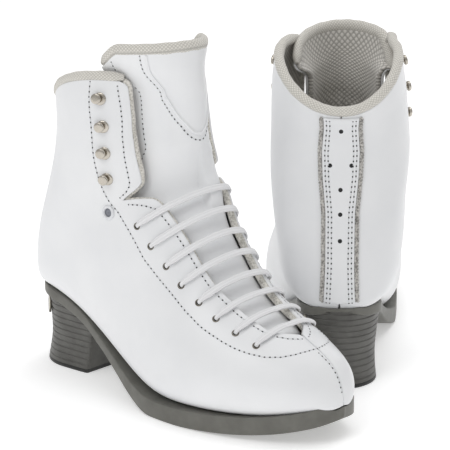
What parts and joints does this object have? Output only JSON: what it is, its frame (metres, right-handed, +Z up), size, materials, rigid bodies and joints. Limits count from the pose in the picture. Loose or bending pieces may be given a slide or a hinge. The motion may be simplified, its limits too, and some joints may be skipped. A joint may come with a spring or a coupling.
{
  "type": "figure skating boots",
  "caption": "Pair of lace-up white leather figure skating boots with stacked heels, hooks, eyelets and padded tongues, shown without blades.",
  "frame": {"origin": "centre of the pair's bounding box, on the floor", "axes": "+Z up; +X to the side of the left boot; the left boot's toe points along +Y"},
  "size_m": [0.262, 0.3711, 0.2522],
  "materials": {
    "sole": "smooth olive grey",
    "heel_stack": "ribbed, dark grey",
    "heel_lift": "near black",
    "heel_badge": "plain satin oval",
    "shank_steel": "satin",
    "insole_board": "fibre board",
    "footbed": "knit top",
    "white_leather": "smooth semi-gloss",
    "lining_fabric": "textured mesh",
    "foam": "closed-cell foam",
    "stiffener": "fibre",
    "braid": "woven braid",
    "gunmetal": "satin gunmetal",
    "white_metal": "gloss white",
    "nickel": "polished nickel",
    "lace": "woven white",
    "aglet": "clear-white"
  },
  "bodies": {
    "right_boot": {"right_aglets": "aglet", "right_backstay": "white_leather", "right_backstay_trim": "braid", "right_collar_roll": "lining_fabric", "right_eyelets": "gunmetal", "right_heel_badge": "heel_badge", "right_heel_block": "heel_stack", "right_heel_counter": "stiffener", "right_heel_lift": "heel_lift", "right_hooks": "nickel", "right_insole_board": "insole_board", "right_lace": "lace", "right_lining_lateral": "lining_fabric", "right_lining_medial": "lining_fabric", "right_outsole": "sole", "right_padding_lateral": "foam", "right_padding_medial": "foam", "right_quarter_lateral": "white_leather", "right_quarter_medial": "white_leather", "right_shank": "shank_steel", "right_toe_box": "stiffener", "right_tongue_lining_lower": "lining_fabric", "right_tongue_lower": "white_leather", "right_top_eyelets": "white_metal"},
    "right_tongue": {"right_tongue_upper": "white_leather", "right_tongue_lining_upper": "lining_fabric"},
    "right_footbed": {"right_footbed": "footbed"},
    "left_boot": {"left_aglets": "aglet", "left_backstay": "white_leather", "left_backstay_trim": "braid", "left_collar_roll": "lining_fabric", "left_eyelets": "gunmetal", "left_heel_badge": "heel_badge", "left_heel_block": "heel_stack", "left_heel_counter": "stiffener", "left_heel_lift": "heel_lift", "left_hooks": "nickel", "left_insole_board": "insole_board", "left_lace": "lace", "left_lining_lateral": "lining_fabric", "left_lining_medial": "lining_fabric", "left_outsole": "sole", "left_padding_lateral": "foam", "left_padding_medial": "foam", "left_quarter_lateral": "white_leather", "left_quarter_medial": "white_leather", "left_shank": "shank_steel", "left_toe_box": "stiffener", "left_tongue_lining_lower": "lining_fabric", "left_tongue_lower": "white_leather", "left_top_eyelets": "white_metal"},
    "left_tongue": {"left_tongue_upper": "white_leather", "left_tongue_lining_upper": "lining_fabric"},
    "left_footbed": {"left_footbed": "footbed"}
  },
  "joints": [
    {"name": "left_boot_lift", "type": "slide", "parent": "right_boot", "child": "left_boot", "axis": [0, 0, 1], "range_m": [0, 0.3]},
    {"name": "right_tongue_tilt", "type": "hinge", "parent": "right_boot", "child": "right_tongue", "pos_m": [-0.01924, -0.09038, 0.1535], "axis": [0.6984, 0.7157, 0], "range_deg": [0, 5]},
    {"name": "right_footbed_lift", "type": "hinge", "parent": "right_boot", "child": "right_footbed", "pos_m": [0.05877, -0.1665, 0.022], "axis": [0.6984, 0.7157, 0], "range_deg": [0, 5]},
    {"name": "left_tongue_tilt", "type": "hinge", "parent": "left_boot", "child": "left_tongue", "pos_m": [0.08297, 0.05711, 0.1535], "axis": [-0.9994, 0.0349, 0], "range_deg": [0, 5]},
    {"name": "left_footbed_lift", "type": "hinge", "parent": "left_boot", "child": "left_footbed", "pos_m": [0.08678, 0.16605, 0.022], "axis": [-0.9994, 0.0349, 0], "range_deg": [0, 5]}
  ]
}
